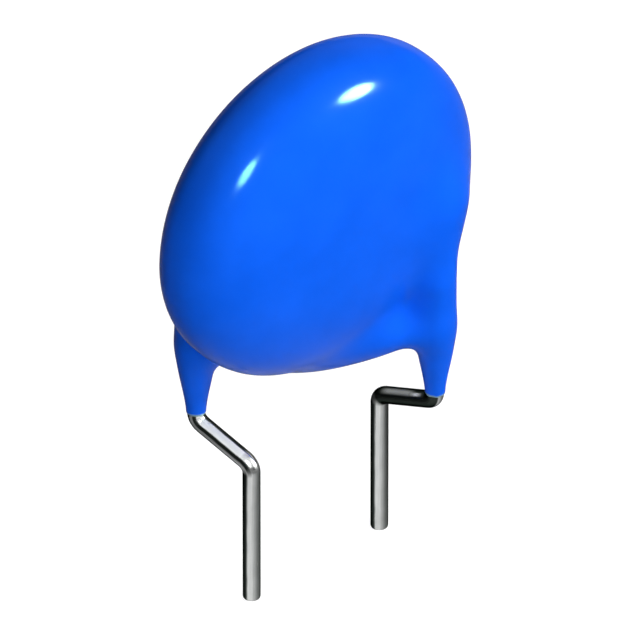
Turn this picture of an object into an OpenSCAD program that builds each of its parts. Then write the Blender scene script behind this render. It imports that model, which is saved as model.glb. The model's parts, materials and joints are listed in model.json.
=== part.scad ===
// Ceramic disc capacitor with a dipped coat and kinked wire leads, in millimetres.
// The board's top face is z = 0, the disc stands upright along X, and its front face looks along -Y.

/* [Ceramic and electrodes] */
// Diameter of the bare ceramic disc
ceramic_d = 12.4; // [10:0.1:15]
// Thickness of the bare ceramic disc
ceramic_t = 4.3; // [3.4:0.1:5]
// Rounding of the ceramic's edges
ceramic_edge_r = 0.3; // [0.1:0.05:0.5]
// Thickness of each electrode layer
electrode_t = 0.05; // [0.04:0.01:0.12]
// Bare ceramic left round each electrode, in from the rounded edge
electrode_margin = 0.1; // [0.05:0.05:0.5]

/* [Coated disc] */
// Thickness of the coat round the ceramic's rim
coat_rim = 2.1; // [1.8:0.05:2.6]
// Thickness of the coat on each face, at the disc's centre
coat_face = 1.1; // [1:0.05:1.6]
// Squareness of the coat's section: 2 is an ellipse, and more is flatter in the face
coat_square = 2.4; // [2.2:0.1:3]
// How far the underside is drawn up from the full round
underside_lift = 0.4; // [0:0.05:0.6]
// Height of the full round's lowest point above the board
underside_h = 4.2; // [4:0.1:6]

/* [Leads] */
// Diameter of the tinned wire
wire_d = 0.8; // [0.6:0.05:0.95]
// Distance between the straight leads, where they enter the board
lead_pitch = 7.5; // [6.5:0.1:9]
// Distance of the wire's soldered end in from the electrode's edge
solder_inset = 0.8; // [0.6:0.05:1.2]
// Distance of the wire's soldered end below the disc's centre
end_drop = 1.0; // [0.4:0.1:1.8]
// How far the soldered end leans outwards along the disc
end_splay = 0.6; // [0:0.1:1]
// How far the wire steps away from the electrode before it leaves the coat
wire_step = 0.3; // [0.1:0.02:0.4]
// Height over which the soldered end leans
lean_h = 3.4; // [2.8:0.1:4]
// Radius of the centreline where the lean begins
lean_bend_r = 3; // [2:0.5:5]
// Height of the kink's upper bend above the board
kink_h = 1.15; // [0.9:0.05:1.4]
// Radius of the centreline in the kink's two bends
kink_bend_r = 0.6; // [0.5:0.05:0.75]
// Length of the straight lead below the board
lead_length = 7.5; // [3:0.5:25]

/* [Solder] */
// Solder between the wire and the electrode
solder_film = 0.06; // [0.02:0.01:0.1]
// Thickness of the solder round the wire
solder_wall = 0.22; // [0.16:0.02:0.3]
// Length of wire that is soldered
solder_run = 1.8; // [1:0.1:2.4]

/* [Coat on the leads] */
// Thickness of the coat round each wire
sleeve_wall = 0.54; // [0.44:0.02:0.64]
// Thickness of the coat at its very end
end_wall = 0.05; // [0.04:0.01:0.1]
// Height over which the coat thins down the wire
taper_h = 4; // [3:0.1:5]
// Straight wire left bare between the coat's end and the kink
bare_h = 0.04; // [0.02:0.02:0.6]

/* [Web between the leads] */
// Height of the web's middle line above the full round's lowest point
web_rise = 1.3; // [1:0.05:1.5]
// Radius of the web halfway between the leads
web_mid_r = 1.6; // [1.4:0.05:1.9]
// Radius of the web at its ends
web_end_r = 0.6; // [0.5:0.05:0.75]
// How far the web stops short of each wire's axis
web_stop = 0.4; // [0.2:0.05:0.6]

/* [Fillets of the coat] */
// Reach of the fillets between disc, web and sleeves
blend_r = 1.15; // [0.9:0.05:1.4]
// Reach of the fillet where a sleeve's top runs out into the face
face_blend_r = 3; // [2.4:0.1:3.6]

/* [Hidden] */
$fn = 96;
corner_step = 15; // degrees between the points of a rounded edge

coat_blue = [0.07, 0.4, 0.98];
fired_ceramic = [0.86, 0.8, 0.7];
fired_silver = [0.8, 0.8, 0.82];
dull_solder = [0.6, 0.62, 0.64];
bright_tin = [0.72, 0.73, 0.75];

wire_r = wire_d / 2;
ceramic_r = ceramic_d / 2;
electrode_r = ceramic_r - ceramic_edge_r - electrode_margin;
electrode_face = ceramic_t / 2 + electrode_t;
body_r = ceramic_r + coat_rim;
body_half = electrode_face + coat_face;
body_height = underside_h + body_r;

// The front lead's route, from its soldered end down to its cut end
solder_x = electrode_r - solder_inset;
solder_y = -(electrode_face + solder_film + wire_r);
exit_x = solder_x - end_splay;
exit_y = solder_y - wire_step;
end_z = body_height - end_drop;
lean_z = end_z - lean_h;
lead_route = [
    [solder_x, solder_y, end_z],
    [exit_x, exit_y, lean_z],
    [exit_x, exit_y, kink_h],
    [lead_pitch / 2, 0, 0],
    [lead_pitch / 2, 0, -lead_length],
];
route_bends = [0, lean_bend_r, kink_bend_r, kink_bend_r, 0];
run_lap = 0.02; // how far a straight run reaches into the bend beside it
bend_swell = 0.001; // extra radius of a bend, so that it takes that end in
coat_end_z = kink_h + bend_trim(lead_route, route_bends, 2) + bare_h;

// The web runs level along the line between the two exits
web_z = underside_h + web_rise;
web_half = norm([exit_x, exit_y]);
web_dir = [exit_x, exit_y] / web_half;
web_angle = atan2(exit_y, exit_x);
web_reach = web_half - web_stop;

// Fineness of the coat's skin
top_levels = 16; // rings from the top down to the disc's middle
low_levels = 28; // rings from there down to the crotch between the legs
skin_levels = top_levels + low_levels;
leg_levels = 14; // rings down each leg
cap_levels = 4; // rings of the underside between the legs
arc_steps = 14; // steps round the outer half of a leg
flank_steps = 9; // steps from a leg's side to the crotch
side_steps = 16; // steps along the underside from crotch to crotch
settle_steps = 16; // halvings that find the skin's surface
even_passes = 14; // passes that even out the rings
pull_steps = 2; // steps that bring an evened point back to the skin
probe = 0.01; // step that the gap's slope is measured by
crotch_gap = 1.55; // distance from a wire's axis in to the crotch
crotch_lift = 0.12; // height of the last ring above the underside at the crotch
ray_reach = body_r + body_half; // from any point of the spine to beyond the skin
flat_slope = 0.01; // least slope that the disc's gap is measured by
thinning = 1.5; // how late the sleeve thins: more keeps it thick for longer

// Vectors

function unit(v) = v / norm(v);

function smooth(t) = t * t * (3 - 2 * t);

function clamp(t, low, high) = min(max(t, low), high);

// A union of two gaps that rounds the valley between them with a fillet of that reach
function soft_union(a, b, reach) = min(a, b) - pow(max(reach - abs(a - b), 0), 2) / (4 * reach);

// Gap from a point to the coat's skin: below zero inside the coat

function lens_gap(p) =
    let (
        up = p.z - body_height,
        drop = up < 0 ? up * body_r / (body_r - underside_lift) : up,
        a = norm([p.x, drop]) / body_r,
        b = abs(p.y) / body_half,
        power = coat_square - 1,
        size = pow(pow(a, coat_square) + pow(b, coat_square), 1 / coat_square),
        slope = norm([pow(a, power) / body_r, pow(b, power) / body_half])
    )
    (size - 1) * pow(size, power) / max(slope, flat_slope);

function web_gap(p) =
    let (
        along = clamp(p.x * web_dir.x + p.y * web_dir.y, -web_reach, web_reach),
        part = along / web_reach,
        r = web_mid_r + (web_end_r - web_mid_r) * part * part
    )
    norm([p.x - along * web_dir.x, p.y - along * web_dir.y, p.z - web_z]) - r;

// How far up its lean the wire is, from 0 where it runs straight to 1 at its soldered end
function lean_part(z) = clamp((z - lean_z) / lean_h, 0, 1);

// The sleeve thins down the wire to the coat's end, and up the lean into the face
function sleeve_r(z) =
    let (
        thick = pow(sin(90 * clamp((z - coat_end_z) / taper_h, 0, 1)), thinning),
        wall = end_wall + (sleeve_wall - end_wall) * thick
    )
    wire_r + wall * (1 - smooth(lean_part(z)));

function sleeve_gap(p) =
    let (
        lean = lean_part(p.z),
        axis = [exit_x + end_splay * lean, exit_y + wire_step * lean]
    )
    norm([p.x - axis.x, p.y - axis.y, max(p.z - end_z, 0)]) - sleeve_r(p.z);

function coat_gap(p) =
    let (
        reach = blend_r + (face_blend_r - blend_r) * smooth(lean_part(p.z)),
        body = soft_union(lens_gap(p), web_gap(p), blend_r),
        front = soft_union(body, sleeve_gap(p), reach)
    )
    soft_union(front, sleeve_gap([-p.x, -p.y, p.z]), reach);

// The point of the skin between one inside and one outside
function settle(inside, outside, steps = settle_steps) =
    let (middle = (inside + outside) / 2)
    steps == 0 ? middle
    : coat_gap(middle) < 0 ? settle(middle, outside, steps - 1)
    : settle(inside, middle, steps - 1);

// The point of the skin near a point, found along the gap's slope
function on_skin(p, steps = pull_steps) =
    steps == 0 ? p
    : let (
        gap = coat_gap(p),
        ways = [[probe, 0, 0], [0, probe, 0], [0, 0, probe]],
        slope = [for (way = ways) (coat_gap(p + way) - gap) / probe]
    )
    on_skin(p - gap * slope / (slope * slope), steps - 1);

// The point of the underside below a point of the web's level
function underside(x, y) = settle([x, y, web_z], [x, y, web_z - 2 * web_mid_r]);

// Rings of the skin. Each starts on a spine, which is a point at the disc's middle and
// grows towards the crotch into the line between the two wires.

crotch = web_half - crotch_gap;
crotch_z = underside(crotch * web_dir.x, crotch * web_dir.y).z + crotch_lift;
half_steps = arc_steps + 2 * flank_steps + side_steps;
ring_size = 2 * half_steps;
leg_size = arc_steps + 2 * flank_steps + 1;
cap_size = 2 * (side_steps + 1);
ring_top = body_height + body_r;

// Position along the spine of step i, counted from the front leg's outer arc
function spine_at(i) =
    let (f = i - arc_steps)
    f <= 0 ? web_half
    : f <= flank_steps ? web_half - crotch_gap * f / flank_steps
    : f <= flank_steps + side_steps ? crotch - 2 * crotch * (f - flank_steps) / side_steps
    : -crotch - crotch_gap * (f - flank_steps - side_steps) / flank_steps;

// Direction of step i, as a fan round the disc's middle, spread evenly over its section
function fan_at(i) =
    let (
        leg_turn = atan2(web_dir.y * body_r, web_dir.x * body_half),
        turn = leg_turn + 180 * (i - arc_steps / 2) / half_steps,
        a = atan2(body_half * sin(turn), body_r * cos(turn))
    )
    a < web_angle - 90 ? a + 360 : a;

// Direction of step i, round the leg and then square to the spine
function spine_dir_at(i) = web_angle - 90 + 180 * min(i / arc_steps, 1);

// Level where step i has turned from the fan to the spine: the crotch's level on a leg's
// outer side, and halfway up to the lean's foot on its inner side
function turned_z(i) =
    let (inner = i < arc_steps ? 1 - i / arc_steps : (i - arc_steps) / (half_steps - arc_steps))
    crotch_z + (lean_z - crotch_z) * inner / 2;

function ring_point(i, z) =
    let (
        w = smooth(clamp((end_z - z) / (end_z - turned_z(i)), 0, 1)),
        start = w * spine_at(i) * web_dir,
        a = (1 - w) * fan_at(i) + w * spine_dir_at(i)
    )
    settle([start.x, start.y, z], [start.x + ray_reach * cos(a), start.y + ray_reach * sin(a), z]);

function half_ring(z) = [for (i = [0:half_steps - 1]) ring_point(i, z)];

function turned(points) = [for (p = points) [-p.x, -p.y, p.z]];

function level_z(k) =
    let (
        low = acos((crotch_z - body_height) / body_r) - 90,
        a = k < top_levels ? 90 * k / top_levels : 90 + low * (k - top_levels) / low_levels
    )
    body_height + body_r * cos(a);

// Half rings whose points each move to the middle of their four neighbours and back to the
// skin, pass after pass. The first and last rings stay.
function evened(halves, passes = even_passes) =
    passes == 0 ? halves
    : evened([for (k = [0:skin_levels - 1])
        k == 0 || k == skin_levels - 1 ? halves[k]
        : [for (i = [0:half_steps - 1])
            let (
                before = i == 0 ? turned(halves[k])[half_steps - 1] : halves[k][i - 1],
                after = i == half_steps - 1 ? turned(halves[k])[0] : halves[k][i + 1]
            )
            on_skin((before + after + halves[k - 1][i] + halves[k + 1][i]) / 4)]
    ], passes - 1);

// Rings down the front leg, starting at its inner side
function leg_ring(k) =
    let (
        z = crotch_z + (coat_end_z - crotch_z) * k / leg_levels,
        axis = [exit_x, exit_y, z]
    )
    [for (i = [0:leg_size - 1])
        let (a = web_angle + 180 + 360 * (i + 0.5) / leg_size)
        settle(axis, axis + crotch_gap * [cos(a), sin(a), 0])];

// The underside between the crotches, as smaller and smaller copies of its rim
function cap_ring(rim, k) =
    let (f = 1 - k / cap_levels)
    [for (p = rim) underside(f * p.x, f * p.y)];

// The coat's skin as one closed surface

// Faces between two rings of the same size, given by their first points. Each four points
// are cut along the diagonal that keeps closer to the skin.
function band(points, a, b, size) =
    [for (i = [0:size - 1])
        let (
            j = (i + 1) % size,
            falling = abs(coat_gap((points[a + i] + points[b + j]) / 2)),
            rising = abs(coat_gap((points[a + j] + points[b + i]) / 2))
        )
        each falling <= rising
            ? [[a + i, a + j, b + j], [a + i, b + j, b + i]]
            : [[a + i, a + j, b + i], [a + j, b + j, b + i]]];

// Faces between the rings of a stack of that many rings
function stack(points, first, rings, size) =
    [for (k = [0:rings - 2]) each band(points, first + k * size, first + (k + 1) * size, size)];

// Faces between a list of rim points and the first ring below it
function rim_band(rim, b) =
    let (size = len(rim))
    [for (i = [0:size - 1])
        let (j = (i + 1) % size)
        each [[rim[i], rim[j], b + j], [rim[i], b + j, b + i]]];

// Fan of faces that closes a ring with one point
function close(a, size, tip) = [for (i = [0:size - 1]) [a + i, a + (i + 1) % size, tip]];

module skin() {
    halves = evened([for (k = [1:skin_levels]) half_ring(level_z(k))]);
    rings = [for (half = halves) each concat(half, turned(half))];
    last = (skin_levels - 1) * ring_size;

    // Points of the last ring that go round each leg, and those of the rim between the legs
    first_leg = [for (i = [0:leg_size - 1]) last + (ring_size - flank_steps + i) % ring_size];
    second_leg = [for (i = first_leg) last + (i - last + half_steps) % ring_size];
    side = arc_steps + flank_steps;
    rim = [for (h = [0, half_steps], i = [0:side_steps]) last + (side + h + i) % ring_size];

    leg = [for (k = [1:leg_levels]) each leg_ring(k)];
    rim_points = [for (i = rim) rings[i]];
    cap = [for (k = [1:cap_levels - 1]) each cap_ring(rim_points, k)];
    tips = [
        [0, 0, ring_top],
        underside(0, 0),
        [exit_x, exit_y, coat_end_z],
        [-exit_x, -exit_y, coat_end_z],
    ];

    points = concat(rings, leg, turned(leg), cap, tips);
    leg_a = len(rings);
    leg_b = leg_a + len(leg);
    cap_a = leg_b + len(leg);
    tip = cap_a + len(cap);

    top_faces = [for (f = close(0, ring_size, tip)) [f[1], f[0], f[2]]];
    leg_faces = [for (s = [[first_leg, leg_a, tip + 2], [second_leg, leg_b, tip + 3]])
        each concat(
            rim_band(s[0], s[1]),
            stack(points, s[1], leg_levels, leg_size),
            close(s[1] + (leg_levels - 1) * leg_size, leg_size, s[2])
        )];
    cap_faces = concat(
        rim_band(rim, cap_a),
        stack(points, cap_a, cap_levels - 1, cap_size),
        close(cap_a + (cap_levels - 2) * cap_size, cap_size, tip + 1)
    );
    ring_faces = stack(points, 0, skin_levels, ring_size);
    all_faces = concat(top_faces, ring_faces, leg_faces, cap_faces);

    polyhedron(points = points, faces = [for (f = all_faces) [f[2], f[1], f[0]]]);
}

// Wire

// Places its children with their own axes along x, y and z
module placed(at, x, y, z) {
    multmatrix([
        [x.x, y.x, z.x, at.x],
        [x.y, y.y, z.y, at.y],
        [x.z, y.z, z.z, at.z],
        [0, 0, 0, 1],
    ]) children();
}

module rod(a, b, r) {
    along = unit(b - a);
    side = unit(cross(along, abs(along.x) < 0.5 ? [1, 0, 0] : [0, 1, 0]));
    placed(a, side, cross(along, side), along) cylinder(r = r, h = norm(b - a));
}

function step_dir(route, i) = unit(route[i + 1] - route[i]);

function bend_turn(route, i) = acos(step_dir(route, i - 1) * step_dir(route, i));

// Length that a bend takes off the straight runs beside it
function bend_trim(route, bends, i) = bends[i] == 0 ? 0 : bends[i] * tan(bend_turn(route, i) / 2);

// Length from a point of the route to where the straight run beside it stops
function run_stop(route, bends, i) = bends[i] == 0 ? 0 : bend_trim(route, bends, i) - run_lap;

module bend(route, bends, i, r) {
    before = step_dir(route, i - 1);
    after = step_dir(route, i);
    turn = bend_turn(route, i);
    centre = route[i] + unit(after - before) * bends[i] / cos(turn / 2);
    start = route[i] - before * bend_trim(route, bends, i);
    placed(centre, unit(start - centre), before, unit(cross(before, after)))
        rotate_extrude(angle = turn) translate([bends[i], 0]) circle(r + bend_swell);
}

module wire(route, bends, r) {
    for (i = [0:len(route) - 2])
        rod(route[i] + step_dir(route, i) * run_stop(route, bends, i),
            route[i + 1] - step_dir(route, i) * run_stop(route, bends, i + 1), r);
    for (i = [1:len(route) - 2]) bend(route, bends, i, r);
}

// Pieces. The rear ones are the front ones turned half round.

module rear() {
    rotate([0, 0, 180]) children();
}

module at_disc() {
    translate([0, 0, body_height]) rotate([90, 0, 0]) children();
}

// Upper half of a profile's rounded corner, from its side up to its top
function rounded(side, top, r) =
    [for (a = [0:corner_step:90]) [side - r + r * cos(a), top - r + r * sin(a)]];

function flipped(points) = [for (i = [len(points) - 1:-1:0]) [points[i].x, -points[i].y]];

module ceramic_shape() {
    corner = rounded(ceramic_r, ceramic_t / 2, ceramic_edge_r);
    at_disc() rotate_extrude()
        polygon(concat([[0, -ceramic_t / 2]], flipped(corner), corner, [[0, ceramic_t / 2]]));
}

module electrode_shape() {
    at_disc() translate([0, 0, ceramic_t / 2]) cylinder(r = electrode_r, h = electrode_t);
}

module lead_shape() {
    wire(lead_route, route_bends, wire_r);
}

// A bead with round ends along the wire's end, cut flat on the electrode
module solder_shape() {
    r = wire_r + solder_wall;
    along = step_dir(lead_route, 0);
    side = unit(cross([0, 1, 0], along));
    bead_end = rounded(r, solder_run / 2 + r, r);
    difference() {
        intersection() {
            placed(lead_route[0] + along * solder_run / 2, side, cross(along, side), along)
                rotate_extrude() polygon(concat(flipped(bead_end), bead_end));
            at_disc() translate([0, 0, electrode_face]) cylinder(r = electrode_r, h = coat_face + wire_d);
        }
        lead_shape();
    }
}

module coating() {
    color(coat_blue) difference() {
        skin();
        ceramic_shape();
        electrode_shape();
        rear() electrode_shape();
        solder_shape();
        rear() solder_shape();
        lead_shape();
        rear() lead_shape();
    }
}

module ceramic_disc() {
    color(fired_ceramic) ceramic_shape();
}

module front_electrode() {
    color(fired_silver) electrode_shape();
}

module rear_electrode() {
    color(fired_silver) rear() electrode_shape();
}

module front_solder() {
    color(dull_solder) solder_shape();
}

module rear_solder() {
    color(dull_solder) rear() solder_shape();
}

module front_lead() {
    color(bright_tin) lead_shape();
}

module rear_lead() {
    color(bright_tin) rear() lead_shape();
}

coating();
ceramic_disc();
front_electrode();
rear_electrode();
front_solder();
rear_solder();
front_lead();
rear_lead();
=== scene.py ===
import json
import math

import bpy
from mathutils import Matrix, Vector


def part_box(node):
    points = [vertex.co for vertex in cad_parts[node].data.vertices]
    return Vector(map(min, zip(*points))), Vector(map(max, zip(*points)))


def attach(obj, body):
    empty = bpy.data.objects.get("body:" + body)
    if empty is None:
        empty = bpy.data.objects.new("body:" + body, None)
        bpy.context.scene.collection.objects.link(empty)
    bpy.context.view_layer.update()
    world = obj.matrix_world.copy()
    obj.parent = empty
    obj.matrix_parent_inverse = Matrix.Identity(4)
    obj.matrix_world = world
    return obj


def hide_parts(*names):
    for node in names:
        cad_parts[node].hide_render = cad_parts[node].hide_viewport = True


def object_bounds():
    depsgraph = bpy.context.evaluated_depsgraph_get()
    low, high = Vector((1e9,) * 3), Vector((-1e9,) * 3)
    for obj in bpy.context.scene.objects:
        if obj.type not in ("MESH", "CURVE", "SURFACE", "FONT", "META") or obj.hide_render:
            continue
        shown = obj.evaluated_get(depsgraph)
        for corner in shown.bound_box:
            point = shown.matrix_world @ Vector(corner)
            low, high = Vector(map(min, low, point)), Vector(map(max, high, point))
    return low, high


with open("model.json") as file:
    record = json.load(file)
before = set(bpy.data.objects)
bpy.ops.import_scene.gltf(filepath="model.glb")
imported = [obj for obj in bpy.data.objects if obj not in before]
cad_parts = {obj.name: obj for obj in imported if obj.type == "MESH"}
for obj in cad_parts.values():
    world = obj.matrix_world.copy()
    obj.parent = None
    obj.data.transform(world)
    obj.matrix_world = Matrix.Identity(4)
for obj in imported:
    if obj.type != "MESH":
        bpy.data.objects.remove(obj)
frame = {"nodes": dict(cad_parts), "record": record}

# The trees below work in millimetres, and finishTree brings each mesh to metres
mm = 0.001
cadLow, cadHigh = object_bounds()
mounts = {mount["name"]: mount["dims"] for mount in frame["record"]["mounts"]}
coatLow, coatHigh = [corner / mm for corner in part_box("coating")]
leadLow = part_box("front_lead")[0] / mm
print("frame loaded")


# Node trees

class Num:  # a number in a node tree, which plain arithmetic turns into Math nodes
    def __init__(self, tree, socket):
        self.tree, self.socket = tree, socket

    def math(self, operation, *others):
        node = self.tree.nodes.new("ShaderNodeMath")
        node.operation = operation
        for place, value in zip(node.inputs, (self, *others)):
            feed(self.tree, place, value)
        return Num(self.tree, node.outputs[0])

    def __add__(self, other):
        return self.math("ADD", other)

    def __sub__(self, other):
        return self.math("SUBTRACT", other)

    def __rsub__(self, other):
        return self * -1 + other

    def __mul__(self, other):
        return self.math("MULTIPLY", other)

    def __truediv__(self, other):
        return self.math("DIVIDE", other)

    def __pow__(self, other):
        return self.math("POWER", other)

    def atLeast(self, low):
        return self.math("MAXIMUM", low)

    def atMost(self, high):
        return self.math("MINIMUM", high)

    def between(self, low, high):
        return self.atLeast(low).atMost(high)


def feed(tree, place, value):
    if isinstance(value, Num):
        tree.links.new(value.socket, place)
    elif isinstance(value, bpy.types.NodeSocket):
        tree.links.new(value, place)
    else:
        place.default_value = value


def addNode(tree, kind, inputs=None, **settings):
    node = tree.nodes.new(kind)
    for name, value in settings.items():
        setattr(node, name, value)
    for name, value in (inputs or {}).items():
        feed(tree, node.inputs[name], value)
    return node


def vector(tree, x, y, z):
    return addNode(tree, "ShaderNodeCombineXYZ", {"X": x, "Y": y, "Z": z}).outputs[0]


def length(tree, x, y, z=0.0):
    node = addNode(tree, "ShaderNodeVectorMath", {0: vector(tree, x, y, z)}, operation="LENGTH")
    return Num(tree, node.outputs["Value"])


def vectorMath(tree, operation, *values):
    node = addNode(tree, "ShaderNodeVectorMath", dict(enumerate(values)), operation=operation)
    return node.outputs["Value" if operation == "DOT_PRODUCT" else "Vector"]


def scaled(tree, value, factor):
    node = addNode(tree, "ShaderNodeVectorMath", {0: value, "Scale": factor}, operation="SCALE")
    return node.outputs["Vector"]


def split(tree, value):
    # The x, y and z of a vector
    node = addNode(tree, "ShaderNodeSeparateXYZ", {0: value})
    return [Num(tree, part) for part in node.outputs]


def storeValue(tree, geometry, name, value, kind):
    inputs = {"Geometry": geometry, "Name": name, "Value": value}
    return addNode(tree, "GeometryNodeStoreNamedAttribute", inputs, data_type=kind, domain="POINT").outputs[0]


def storedValue(tree, name, kind):
    return addNode(tree, "GeometryNodeInputNamedAttribute", {"Name": name}, data_type=kind).outputs[0]


geometrySocket = [("Geometry", "NodeSocketGeometry")]


def newTree(name, sizes, inputs=(), outputs=()):
    tree = bpy.data.node_groups.new(name, "GeometryNodeTree")
    for socketName, kind in inputs:
        tree.interface.new_socket(socketName, in_out="INPUT", socket_type=kind)
    for socketName, kind in outputs:
        tree.interface.new_socket(socketName, in_out="OUTPUT", socket_type=kind)
    for socketName, value in sizes.items():
        kind = "NodeSocketInt" if isinstance(value, int) else "NodeSocketFloat"
        tree.interface.new_socket(socketName, in_out="INPUT", socket_type=kind).default_value = value
    start = tree.nodes.new("NodeGroupInput")
    end = tree.nodes.new("NodeGroupOutput")
    return tree, start, end


def finishTree(tree, geometry, material, end):
    # Brings the mesh to metres and gives it its material
    metres = addNode(tree, "GeometryNodeTransform", {"Geometry": geometry, "Scale": (mm, mm, mm)}).outputs[0]
    smooth = addNode(tree, "GeometryNodeSetShadeSmooth", {"Geometry": metres}).outputs[0]
    real = addNode(tree, "GeometryNodeRealizeInstances", {"Geometry": smooth}).outputs[0]
    done = addNode(tree, "GeometryNodeSetMaterial", {"Geometry": real, "Material": material}).outputs[0]
    feed(tree, end.inputs["Geometry"], done)


def bake(name, tree, sizes, source=None):
    # Runs the tree on an object and returns its result as a plain mesh object
    carrier = bpy.data.objects.new(name + "Maker", source or bpy.data.meshes.new(name + "Maker"))
    bpy.context.scene.collection.objects.link(carrier)
    modifier = carrier.modifiers.new(tree.name, "NODES")
    modifier.node_group = tree
    identifiers = {item.name: item.identifier for item in tree.interface.items_tree
                   if item.item_type == "SOCKET" and item.in_out == "INPUT"}
    for socketName, value in sizes.items():
        modifier[identifiers[socketName]] = value
    evaluated = carrier.evaluated_get(bpy.context.evaluated_depsgraph_get())
    mesh = bpy.data.meshes.new_from_object(evaluated)
    carrier.modifiers.remove(modifier)
    bpy.data.objects.remove(carrier)
    mesh.name = name
    piece = bpy.data.objects.new(name, mesh)
    bpy.context.scene.collection.objects.link(piece)
    print(name, "has", len(mesh.polygons), "faces")
    return piece


# Materials

def newMaterial(name, **settings):
    material = bpy.data.materials.new(name)
    material.use_nodes = True
    shader = material.node_tree.nodes["Principled BSDF"]
    for socketName, value in settings.items():
        shader.inputs[socketName.replace("_", " ")].default_value = value
    return material, material.node_tree, shader


def noise(tree, place, scale, detail):
    inputs = {"Vector": place, "Scale": scale, "Detail": detail}
    return addNode(tree, "ShaderNodeTexNoise", inputs).outputs[0]


def objectNoise(tree, scale, detail):
    # Noise on object coordinates, with its scale in lumps for each millimetre
    place = addNode(tree, "ShaderNodeTexCoord").outputs["Object"]
    inMillimetres = addNode(tree, "ShaderNodeMapping", {"Vector": place, "Scale": Vector([1 / mm] * 3)})
    return noise(tree, inMillimetres.outputs[0], scale, detail)


# Noise values at which a surface has all of its first and of its second colour
rampStops = (0.3, 0.7)


def ramp(tree, factor, *colours):
    node = addNode(tree, "ShaderNodeValToRGB", {"Fac": factor})
    for element, position, colour in zip(node.color_ramp.elements, rampStops, colours):
        element.position = position
        element.color = (*colour, 1)
    return node.outputs["Color"]


def mixColours(tree, share, first, second):
    # A Mix node keeps its colours in sockets 6 and 7, and their mix in output 2
    return addNode(tree, "ShaderNodeMix", {0: share, 6: first, 7: second}, data_type="RGBA").outputs[2]


def bump(tree, shader, height, distance):
    # The distance is in millimetres
    node = addNode(tree, "ShaderNodeBump", {"Height": height, "Distance": distance * mm})
    tree.links.new(node.outputs[0], shader.inputs["Normal"])


def span(tree, value, low, high):
    node = addNode(tree, "ShaderNodeMapRange", {"Value": value, "To Min": low, "To Max": high})
    return node.outputs[0]


epoxy = {
    "deepBlue": (0.004, 0.112, 0.86),
    "blue": (0.006, 0.128, 0.95),
    "thinEdge": (0.28, 0.46, 0.50, 1),
    "cloudScale": 0.35,    # lumps for each millimetre
    "edgeHeight": 0.09,    # millimetres of thin coat at the end of each leg
    "edgeScale": 2.5,      # lumps for each millimetre
    "edgeShift": 0.6,      # how much of it lies below the uneven edge
    "roughness": 0.13,
    "specular": 0.03,
    "specularTint": (0.28, 0.95, 1.0, 1),
    "peelScale": 1.6,      # lumps for each millimetre
    "peelHeight": 0.0012,  # millimetres
}


def makeEpoxy():
    material, tree, shader = newMaterial("blueEpoxy", Roughness=epoxy["roughness"],
                                         Specular_IOR_Level=epoxy["specular"],
                                         Specular_Tint=epoxy["specularTint"])
    colour = ramp(tree, objectNoise(tree, epoxy["cloudScale"], 3), epoxy["deepBlue"], epoxy["blue"])
    place = addNode(tree, "ShaderNodeTexCoord").outputs["Object"]
    height = split(tree, place)[2] / mm - coatLow.z
    uneven = Num(tree, objectNoise(tree, epoxy["edgeScale"], 2)) * (2 * epoxy["edgeHeight"])
    thin = ((uneven - height) / epoxy["edgeHeight"] + epoxy["edgeShift"]).between(0, 1)
    tree.links.new(mixColours(tree, thin, colour, epoxy["thinEdge"]), shader.inputs["Base Color"])
    bump(tree, shader, objectNoise(tree, epoxy["peelScale"], 2), epoxy["peelHeight"])
    return material


# A drawn wire's tin, with dark streaks along it and a few pale ones, which are painted reflections of a room
# round
# the wire: painted dark reflections and painted highlights. Each streak has its angle round the wire and half
# its width in degrees, the softness of its edge, its strength from 0 to 1, and where it starts and stops, in
# millimetres from the soldered end.
tin = {
    "bright": (0.60, 0.61, 0.60, 1),
    # The colour of the drawn lines and stains, and of the painted dark reflections in the streaks
    "dullAndPaintedDark": (0.016, 0.021, 0.018, 1),
    # The colour of the pale streaks, which are painted highlights
    "pale": (0.86, 0.88, 0.87, 1),
    "edgeTint": (0.2, 0.2, 0.2, 1),
    "roughness": 0.12,
    "dullRoughness": 0.24,
    "wander": 0.3,          # how far the streaks stray round the wire, in radians
    "wanderScale": 0.6,     # how often they do, for each millimetre
    "fade": 0.4,            # millimetres over which a streak starts and stops
    "drawnLines": 14.0,     # fine lines round the wire
    "lineStretch": 0.4,     # changes along each line for each millimetre
    "lineHeight": 0.0006,   # millimetres
    "lineStart": 0.4,       # the noise value from which a line dulls the wire
    "lineShade": 0.5,
    "stainScale": 0.9,      # lumps for each millimetre
    "stainShade": 0.2,
    # Painted dark reflections along the straight part of both wires
    "straightPaintedDarkStreaks": [(-50, 32, 0.12, 0.97, 13.4, 99), (-175, 47, 0.53, 0.8, 13.4, 99)],
}


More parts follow.
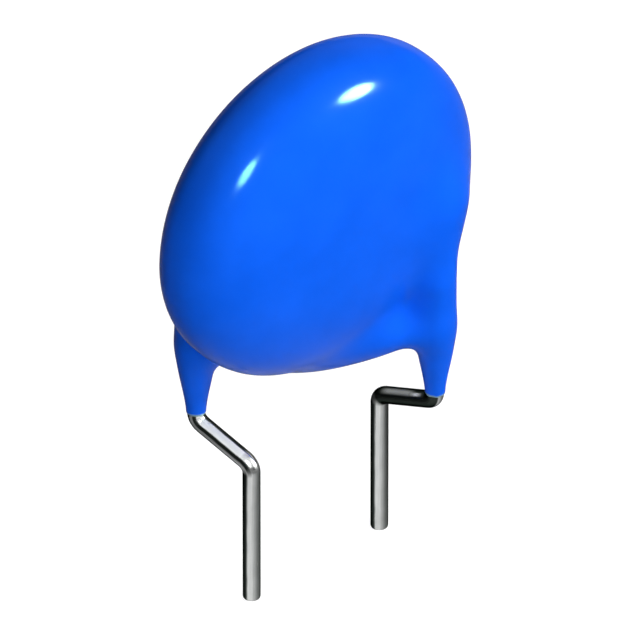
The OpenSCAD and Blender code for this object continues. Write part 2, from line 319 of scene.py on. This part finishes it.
def makeTin(name, paintedDarkStreaks, paintedHighlightStreaks):
    material, tree, shader = newMaterial(name, Specular_Tint=tin["edgeTint"])
    along = addNode(tree, "ShaderNodeAttribute", attribute_name="wireWay").outputs["Vector"]
    ringX, ringY, way = split(tree, along)
    stray = (Num(tree, noise(tree, vector(tree, 0.0, 0.0, way), tin["wanderScale"], 2)) - 0.5) * tin["wander"]
    ringX, ringY = ringX - ringY * stray, ringY + ringX * stray
    lineScale = (tin["drawnLines"], tin["drawnLines"], tin["lineStretch"])
    stretched = addNode(tree, "ShaderNodeMapping", {"Vector": along, "Scale": lineScale})
    lines = noise(tree, stretched.outputs[0], 1, 3)

    def outsidePaintedStreak(angle, halfWidth, softness, strength, first, last):
        # One away from the painted streak, and less by its strength on it
        facing = ringX * math.cos(math.radians(angle)) + ringY * math.sin(math.radians(angle))
        inside = ((facing - math.cos(math.radians(halfWidth))) / softness + 0.5).between(0, 1)
        started = ((way - first) / tin["fade"]).between(0, 1)
        goesOn = ((last - way) / tin["fade"]).between(0, 1)
        return 1 - inside * started * goesOn * strength

    # How clear the tin is of its drawn lines, of the painted dark reflections and of its stains
    clear = 1 - (Num(tree, lines) - tin["lineStart"]).between(0, 1) * tin["lineShade"]
    for streak in tin["straightPaintedDarkStreaks"] + paintedDarkStreaks:
        clear = clear * outsidePaintedStreak(*streak)
    clear = clear * (1 - Num(tree, objectNoise(tree, tin["stainScale"], 4)) * tin["stainShade"])
    # Painted highlights: on the pale streaks the wire turns from metal to the pale colour
    metallic = outsidePaintedStreak(*paintedHighlightStreaks[0])
    for streak in paintedHighlightStreaks[1:]:
        metallic = metallic * outsidePaintedStreak(*streak)
    # The tin's own colour, darkened by its lines and stains and by the painted dark reflections
    drawn = mixColours(tree, clear, tin["dullAndPaintedDark"], tin["bright"])
    tree.links.new(mixColours(tree, metallic, tin["pale"], drawn), shader.inputs["Base Color"])
    tree.links.new(metallic.socket, shader.inputs["Metallic"])
    roughness = span(tree, clear, tin["dullRoughness"], tin["roughness"])
    tree.links.new(roughness, shader.inputs["Roughness"])
    bump(tree, shader, lines, tin["lineHeight"])
    return material


# Finishes of the sealed pieces, with the grain in lumps for each millimetre and its height in millimetres
sealedFinishes = {
    "firedCeramic": {"dark": (0.62, 0.52, 0.38), "light": (0.74, 0.65, 0.5), "metallic": 0.0,
                     "roughness": (0.67, 0.83), "grain": 6, "height": 0.004},
    "firedSilver": {"dark": (0.66, 0.65, 0.62), "light": (0.8, 0.79, 0.76), "metallic": 1.0,
                    "roughness": (0.42, 0.58), "grain": 9, "height": 0.003},
    "satinSolder": {"dark": (0.42, 0.43, 0.44), "light": (0.58, 0.59, 0.6), "metallic": 1.0,
                    "roughness": (0.27, 0.43), "grain": 2, "height": 0.01},
}
sealedPieces = {
    "ceramic_disc": "firedCeramic",
    "front_electrode": "firedSilver",
    "rear_electrode": "firedSilver",
    "front_solder": "satinSolder",
    "rear_solder": "satinSolder",
}


def makeSealed(name, finish):
    material, tree, shader = newMaterial(name, Metallic=finish["metallic"])
    grain = objectNoise(tree, finish["grain"], 4)
    tree.links.new(ramp(tree, grain, finish["dark"], finish["light"]), shader.inputs["Base Color"])
    tree.links.new(span(tree, grain, *finish["roughness"]), shader.inputs["Roughness"])
    bump(tree, shader, grain, finish["height"])
    return material


sealedMaterials = {name: makeSealed(name, finish) for name, finish in sealedFinishes.items()}
for node, finish in sealedPieces.items():
    mesh = frame["nodes"][node].data
    mesh.materials.clear()
    mesh.materials.append(sealedMaterials[finish])
print("finishes made")


# Coat: a dipped skin that follows one rule. The gap is the distance to the skin, below zero inside.

# Sizes in millimetres, as in the part's source
coatSizes = {
    "bodyRadius": (coatHigh.x - coatLow.x) / 2,
    "bodyHalf": 3.3,
    "bodySquare": 2.4,
    "undersideLift": 0.4,
    "bodyHeight": coatHigh.z - (coatHigh.x - coatLow.x) / 2,
    "wireRadius": mounts["board_leads"]["stud_r_mm"],
    "exitX": 4.4,
    "exitY": -2.96,
    "endLean": 0.6,
    "endStep": 0.3,
    "endDrop": 1.0,
    "leanHeight": 3.4,
    "sleeveWall": 0.54,
    "endWall": 0.05,
    "endSlope": 2.0,
    "coatEnd": coatLow.z,
    "taperHeight": 4.0,
    "swellPower": 1.5,
    "webDrop": 7.0,
    "webMid": 1.6,
    "webEnd": 0.6,
    "webStop": 0.4,
    "blend": 1.15,
    "faceBlend": 3.0,
}
coatMesh = {
    "voxel": 0.13,
    "margin": 0.6,
    "settleSteps": 3,
    "probe": 0.01,
    "leastSlope": 0.01,
    "leastSteep": 0.05,
    "waveScale": 0.22,   # lumps for each millimetre
    "waveHeight": 0.03,  # millimetres
}


def softUnion(a, b, blend):
    valley = (blend - (a - b).math("ABSOLUTE")).atLeast(0)
    return a.atMost(b) - valley * valley / (blend * 4)


def makeGapTree():
    tree, start, end = newTree("CoatGap", coatSizes, [("Point", "NodeSocketVector")],
                               [("Gap", "NodeSocketFloat")])
    size = {name: Num(tree, start.outputs[name]) for name in coatSizes}
    x, y, z = split(tree, start.outputs["Point"])

    up = z - size["bodyHeight"]
    drawn = size["bodyRadius"] / (size["bodyRadius"] - size["undersideLift"])
    reach = length(tree, x, up.atLeast(0) + up.atMost(0) * drawn) / size["bodyRadius"]
    depth = y.math("ABSOLUTE") / size["bodyHalf"]
    power = size["bodySquare"]
    full = (reach ** power + depth ** power) ** power ** -1
    slope = length(tree, reach ** (power - 1) / size["bodyRadius"], depth ** (power - 1) / size["bodyHalf"])
    lens = (full - 1) * full ** (power - 1) / slope.atLeast(coatMesh["leastSlope"])

    half = length(tree, size["exitX"], size["exitY"])
    wayX, wayY = size["exitX"] / half, size["exitY"] / half
    stop = half - size["webStop"]
    along = (x * wayX + y * wayY).between(stop * -1, stop)
    share = along / stop
    webRadius = size["webMid"] + (size["webEnd"] - size["webMid"]) * share * share
    web = length(tree, x - along * wayX, y - along * wayY, up + size["webDrop"]) - webRadius

    leanZ = size["bodyHeight"] - size["endDrop"] - size["leanHeight"]
    lean = ((z - leanZ) / size["leanHeight"]).between(0, 1)
    eased = lean * lean * (3 - lean * 2)
    over = (up + size["endDrop"]).atLeast(0)
    taper = ((z - size["coatEnd"]) / size["taperHeight"]).between(0, 1)
    swell = (taper * (math.pi / 2)).math("SINE") ** size["swellPower"]
    below = (size["coatEnd"] - z).atLeast(0)
    wall = size["endWall"] + (size["sleeveWall"] - size["endWall"]) * swell
    sleeveRadius = size["wireRadius"] + wall * (1 - eased) - below * size["endSlope"]
    axisX = size["exitX"] + size["endLean"] * lean
    axisY = size["exitY"] + size["endStep"] * lean
    front = length(tree, x - axisX, y - axisY, over) - sleeveRadius
    rear = length(tree, x + axisX, y + axisY, over) - sleeveRadius

    blend = size["blend"] + (size["faceBlend"] - size["blend"]) * eased
    body = softUnion(softUnion(lens, web, size["blend"]), front, blend)
    feed(tree, end.inputs["Gap"], softUnion(body, rear, blend))
    return tree


def makeCoatTree(gapTree):
    sizes = {**coatSizes, "waveScale": coatMesh["waveScale"], "waveHeight": coatMesh["waveHeight"]}
    tree, start, end = newTree("DippedCoat", sizes, geometrySocket, geometrySocket)
    tree.is_modifier = True

    def gapAt(point):
        node = addNode(tree, "GeometryNodeGroup", node_tree=gapTree)
        feed(tree, node.inputs["Point"], point)
        for name in coatSizes:
            feed(tree, node.inputs[name], start.outputs[name])
        return Num(tree, node.outputs["Gap"])

    place = addNode(tree, "GeometryNodeInputPosition").outputs[0]
    low = coatLow - Vector([coatMesh["margin"]] * 3)
    high = coatHigh + Vector([coatMesh["margin"]] * 3)
    counts = [math.ceil(side / coatMesh["voxel"]) for side in high - low]
    block = addNode(tree, "GeometryNodeVolumeCube", {
        "Density": 1 - gapAt(place), "Min": low, "Max": high,
        "Resolution X": counts[0], "Resolution Y": counts[1], "Resolution Z": counts[2],
    })
    volume = {"Volume": block.outputs[0], "Threshold": 1.0}
    skin = addNode(tree, "GeometryNodeVolumeToMesh", volume).outputs[0]

    # Each pass moves the points along the slope of the gap, on to the true skin
    probes = [axis * coatMesh["probe"] for axis in Matrix.Identity(3)]
    for _ in range(coatMesh["settleSteps"]):
        gap = gapAt(place)
        rise = [gapAt(vectorMath(tree, "ADD", place, probe)) - gap for probe in probes]
        slope = scaled(tree, vector(tree, *rise), 1 / coatMesh["probe"])
        steep = Num(tree, vectorMath(tree, "DOT_PRODUCT", slope, slope)).atLeast(coatMesh["leastSteep"])
        step = scaled(tree, slope, gap * -1 / steep)
        skin = addNode(tree, "GeometryNodeSetPosition", {"Geometry": skin, "Offset": step}).outputs[0]

    # The slow unevenness that a dip leaves
    wave = (Num(tree, noise(tree, place, start.outputs["waveScale"], 1)) - 0.5) * start.outputs["waveHeight"]
    lift = scaled(tree, addNode(tree, "GeometryNodeInputNormal").outputs[0], wave)
    skin = addNode(tree, "GeometryNodeSetPosition", {"Geometry": skin, "Offset": lift}).outputs[0]
    finishTree(tree, skin, makeEpoxy(), end)
    return tree


coat = bake("coat", makeCoatTree(makeGapTree()), coatSizes)
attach(coat, "root")
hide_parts("coating")
print("coat made")


# Leads: a drawn wire that follows its bent path, cut off with a small rounded edge

# Sizes in millimetres, with the turn of the ring in radians
wireSizes = {
    "wireRadius": mounts["board_leads"]["stud_r_mm"],
    "tipRound": 0.1,
    "ringTurn": 0.0,
    "ringCount": 64,
    "bendCount": 20,
    "pathStep": 0.05,
}
wirePath = {
    "pitch": mounts["board_leads"]["pcd_mm"],
    "exitX": coatSizes["exitX"],
    "exitY": coatSizes["exitY"],
    "soldered": (coatSizes["exitX"] + coatSizes["endLean"], coatSizes["exitY"] + coatSizes["endStep"],
                 coatSizes["bodyHeight"] - coatSizes["endDrop"]),
    "leanBend": 3.0,
    "kinkHeight": 1.15,
    "kinkBend": 0.6,
    "end": leadLow.z,
}


# Each wire stands for a CAD lead and has painted streaks of its own, dark painted reflections and pale painted
# highlights, which are given as those of the tin are
wires = {
    "frontWire": {
        "node": "front_lead",
        "side": 1,
        "turn": 0.0,
        # A painted dark reflection over the kink, and two painted highlights on its upper side
        "paintedDarkStreaks": [(-45, 88, 0.15, 0.985, -1, 13.8)],
        "paintedHighlightStreaks": [(-14, 20, 0.12, 0.3, 11.2, 13.2), (-22, 11, 0.03, 1.0, 10.8, 11.5)],
    },
    "rearWire": {
        "node": "rear_lead",
        "side": -1,
        "turn": math.pi,
        # Painted dark reflections along the kink, and a painted pale stripe on it
        "paintedDarkStreaks": [(-22, 41, 0.12, 0.97, -1, 13.5), (158, 37, 0.1, 0.97, -1, 13.3),
                    (-100, 14, 0.03, 0.98, -1, 13.9)],
        "paintedHighlightStreaks": [(-140, 26, 0.06, 0.9, 9.8, 13.4)],
    },
}


def wirePoints(side):
    # Each point has the radius of its bend beside it
    half = wirePath["pitch"] / 2
    lean = wirePath["soldered"][2] - coatSizes["leanHeight"]
    route = [
        (wirePath["soldered"], 0),
        ((wirePath["exitX"], wirePath["exitY"], lean), wirePath["leanBend"]),
        ((wirePath["exitX"], wirePath["exitY"], wirePath["kinkHeight"]), wirePath["kinkBend"]),
        ((half, 0, 0), wirePath["kinkBend"]),
        ((half, 0, wirePath["end"]), 0),
    ]
    return [((side * x, side * y, z), bend) for (x, y, z), bend in route]


def makeWireCurve(name, side):
    curve = bpy.data.curves.new(name, "CURVE")
    curve.dimensions = "3D"
    points = wirePoints(side)
    spline = curve.splines.new("POLY")
    spline.points.add(len(points) - 1)
    for point, (place, bend) in zip(spline.points, points):
        point.co = (*place, 1)
        point.radius = bend
    return curve


def makeWireTree(name, tinMaterial):
    tree, start, end = newTree(name, wireSizes, geometrySocket, geometrySocket)
    tree.is_modifier = True
    bends = {
        "Curve": start.outputs["Geometry"],
        "Radius": addNode(tree, "GeometryNodeInputRadius").outputs[0],
        "Count": start.outputs["bendCount"],
    }
    path = addNode(tree, "GeometryNodeFilletCurve", bends, mode="POLY").outputs[0]
    steps = {"Curve": path, "Length": start.outputs["pathStep"]}
    fine = addNode(tree, "GeometryNodeResampleCurve", steps, mode="LENGTH").outputs[0]

    # The cut end is rounded a little
    way = addNode(tree, "GeometryNodeSplineParameter").outputs["Length"]
    left = Num(tree, addNode(tree, "GeometryNodeSplineLength").outputs["Length"]) - way
    tip = Num(tree, start.outputs["tipRound"])
    inward = (1 - left / tip).between(0, 1)
    radius = Num(tree, start.outputs["wireRadius"]) - tip * (1 - (1 - inward * inward).math("SQRT"))

    # The mesh keeps the direction round the wire and the length along it, for the painted streaks and the
    # drawn lines
    circle = {"Resolution": start.outputs["ringCount"], "Radius": 1.0}
    ring = addNode(tree, "GeometryNodeCurvePrimitiveCircle", circle).outputs["Curve"]
    around = addNode(tree, "GeometryNodeSplineParameter").outputs["Factor"]
    turn = Num(tree, around) * (2 * math.pi) + start.outputs["ringTurn"]
    across = vector(tree, turn.math("COSINE"), turn.math("SINE"), 0.0)
    tube = addNode(tree, "GeometryNodeCurveToMesh", {
        "Curve": storeValue(tree, fine, "wireLength", way, "FLOAT"),
        "Profile Curve": storeValue(tree, ring, "wireRing", across, "FLOAT_VECTOR"),
        "Scale": radius,
        "Fill Caps": True,
    }).outputs[0]
    ringX, ringY, _ = split(tree, storedValue(tree, "wireRing", "FLOAT_VECTOR"))
    wireWay = vector(tree, ringX, ringY, storedValue(tree, "wireLength", "FLOAT"))
    finishTree(tree, storeValue(tree, tube, "wireWay", wireWay, "FLOAT_VECTOR"), tinMaterial, end)
    return tree


for name, plan in wires.items():
    node = plan["node"]
    wireTin = makeTin(name + "Tin", plan["paintedDarkStreaks"], plan["paintedHighlightStreaks"])
    wireTree = makeWireTree(name + "Tree", wireTin)
    wire = bake(name, wireTree, {**wireSizes, "ringTurn": plan["turn"]}, makeWireCurve(name, plan["side"]))
    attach(wire, "root")
    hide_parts(node)
print("leads made")


# Floor, light and camera

bodyMiddle = Vector((0, 0, coatSizes["bodyHeight"] * mm))
whiteColour = (1, 1, 1, 1)
# Lengths in metres
studio = {
    "floorSize": 1.2,
    "lampDistance": 0.2,
    "skyLight": 0.02,
    "horizon": 0.05,              # what shiny pieces see at the horizon, where 1 is white
    "overhead": (0.15, 0.5),      # heights between which it turns white for them
    "floorColour": (0.27, 0.27, 0.27, 1),
    "floorRoughness": 0.9,
    "floorGlow": 0.88,
    "sheet": (-0.0045, -0.0075),  # middle of the patch in front that shiny pieces see as the camera does
    "sheetRadius": 0.009,
    "sheetFade": 0.007,           # metres over which the floor then dims for them
    "sheetFar": 0.08,
}
# A lamp shines from its way, with its long side along its slant. The soft ones light the part, and the glints
# are the bright strips that shiny pieces mirror.
lamps = {
    "softRight": {"way": (0.543, -0.642, 0.542), "slant": (0.27, 0.163, -0.128), "size": (0.12, 0.12),
                  "power": 0.29, "mirrored": False},
    "softLeft": {"way": (-0.461, -0.733, 0.5), "slant": (0.151, -0.034, 0.106), "size": (0.12, 0.12),
                 "power": 0.295, "mirrored": False},
    "softBack": {"way": (0.78, 0.62, 0.08), "slant": (0.62, -0.78, 0.0), "size": (0.12, 0.12),
                 "power": 0.32, "mirrored": False},
    "glintRight": {"way": (0.601, -0.723, 0.34), "slant": (0.27, 0.163, -0.128), "size": (0.06, 0.042),
                   "power": 6.0, "mirrored": True},
    "glintLeft": {"way": (-0.493, -0.744, 0.452), "slant": (0.151, -0.034, 0.106), "size": (0.052, 0.05),
                  "power": 3.1, "mirrored": True},
}
cameraView = {
    "azimuth": -41.2,
    "elevation": 38.9,
    "distance": 1.2,
    "frameWidth": 28.01 * mm,
    "sensor": 36.0,
    "clip": (0.01, 10),
    "right": 0.193 * mm,
    "down": 4.906 * mm,
}


def mixByRay(tree, rays, base, shown, surface):
    # Shows one shader to the named kinds of ray and the other to the rest
    path = addNode(tree, "ShaderNodeLightPath")
    kind = Num(tree, path.outputs[rays[0]])
    for name in rays[1:]:
        kind = kind.atLeast(path.outputs[name])
    mix = addNode(tree, "ShaderNodeMixShader", {"Fac": kind, 1: base, 2: shown})
    tree.links.new(mix.outputs[0], surface)
    return path


def makeFloor():
    side = studio["floorSize"] / 2
    mesh = bpy.data.meshes.new("floor")
    mesh.from_pydata([(x * side, y * side, cadLow.z) for x, y in ((-1, -1), (1, -1), (1, 1), (-1, 1))], [],
                     [(0, 1, 2, 3)])
    floor = bpy.data.objects.new("floor", mesh)
    bpy.context.scene.collection.objects.link(floor)
    material, tree, shader = newMaterial("paleFloor", Base_Color=studio["floorColour"],
                                         Roughness=studio["floorRoughness"], Specular_IOR_Level=0.0)
    glow = addNode(tree, "ShaderNodeEmission", {"Color": whiteColour})
    pale = addNode(tree, "ShaderNodeAddShader", {0: glow.outputs[0], 1: shader.outputs[0]})
    path = mixByRay(tree, ["Is Camera Ray", "Is Glossy Ray", "Is Transmission Ray"], shader.outputs[0],
                    pale.outputs[0], tree.nodes["Material Output"].inputs["Surface"])
    x, y, _ = split(tree, addNode(tree, "ShaderNodeTexCoord").outputs["Object"])
    away = length(tree, x - studio["sheet"][0], y - studio["sheet"][1])
    past = ((away - studio["sheetRadius"]) / studio["sheetFade"]).between(0, 1)
    dimmed = past * path.outputs["Is Glossy Ray"]
    feed(tree, glow.inputs["Strength"], (1 - dimmed * (1 - studio["sheetFar"])) * studio["floorGlow"])
    mesh.materials.append(material)


def makeSky():
    world = bpy.data.worlds.new("paleSky")
    bpy.context.scene.world = world
    world.use_nodes = True
    tree = world.node_tree
    dim = tree.nodes["Background"]
    dim.inputs["Color"].default_value = whiteColour
    dim.inputs["Strength"].default_value = studio["skyLight"]
    white = addNode(tree, "ShaderNodeBackground", {"Color": whiteColour, "Strength": 1.0})
    height = split(tree, addNode(tree, "ShaderNodeTexCoord").outputs["Generated"])[2]
    low, high = studio["overhead"]
    raised = ((height - low) / (high - low)).between(0, 1) * (1 - studio["horizon"]) + studio["horizon"]
    room = addNode(tree, "ShaderNodeBackground", {"Color": whiteColour, "Strength": raised})
    lit = addNode(tree, "ShaderNodeMixShader", {1: dim.outputs[0], 2: room.outputs[0]})
    tree.links.new(addNode(tree, "ShaderNodeLightPath").outputs["Is Glossy Ray"], lit.inputs["Fac"])
    mixByRay(tree, ["Is Camera Ray", "Is Transmission Ray"], lit.outputs[0], white.outputs[0],
             tree.nodes["World Output"].inputs["Surface"])


def makeLamp(name, plan):
    light = bpy.data.lights.new(name, "AREA")
    light.shape = "ELLIPSE"
    light.size, light.size_y = plan["size"]
    light.energy = plan["power"]
    lamp = bpy.data.objects.new(name, light)
    bpy.context.scene.collection.objects.link(lamp)
    lamp.visible_glossy = plan["mirrored"]
    lamp.visible_diffuse = not plan["mirrored"]
    way = Vector(plan["way"]).normalized()
    across = way.cross(Vector(plan["slant"])).normalized()
    lamp.location = bodyMiddle + way * studio["lampDistance"]
    lamp.rotation_euler = Matrix((across.cross(way), across, way)).transposed().to_euler()


def makeCamera():
    azimuth = math.radians(cameraView["azimuth"])
    elevation = math.radians(cameraView["elevation"])
    back = Vector((math.sin(azimuth) * math.cos(elevation), -math.cos(azimuth) * math.cos(elevation),
                   math.sin(elevation)))
    right = Vector((0, 0, 1)).cross(back).normalized()
    up = back.cross(right)
    data = bpy.data.cameras.new("camera")
    data.sensor_width = cameraView["sensor"]
    data.lens = cameraView["sensor"] * cameraView["distance"] / cameraView["frameWidth"]
    data.clip_start, data.clip_end = cameraView["clip"]
    camera = bpy.data.objects.new("camera", data)
    bpy.context.scene.collection.objects.link(camera)
    target = bodyMiddle + right * cameraView["right"] - up * cameraView["down"]
    camera.location = target + back * cameraView["distance"]
    camera.rotation_euler = back.to_track_quat("Z", "Y").to_euler()
    bpy.context.scene.camera = camera


makeFloor()
makeSky()
for name, plan in lamps.items():
    makeLamp(name, plan)
makeCamera()
bpy.context.scene.view_settings.view_transform = "Standard"
print("stage set")
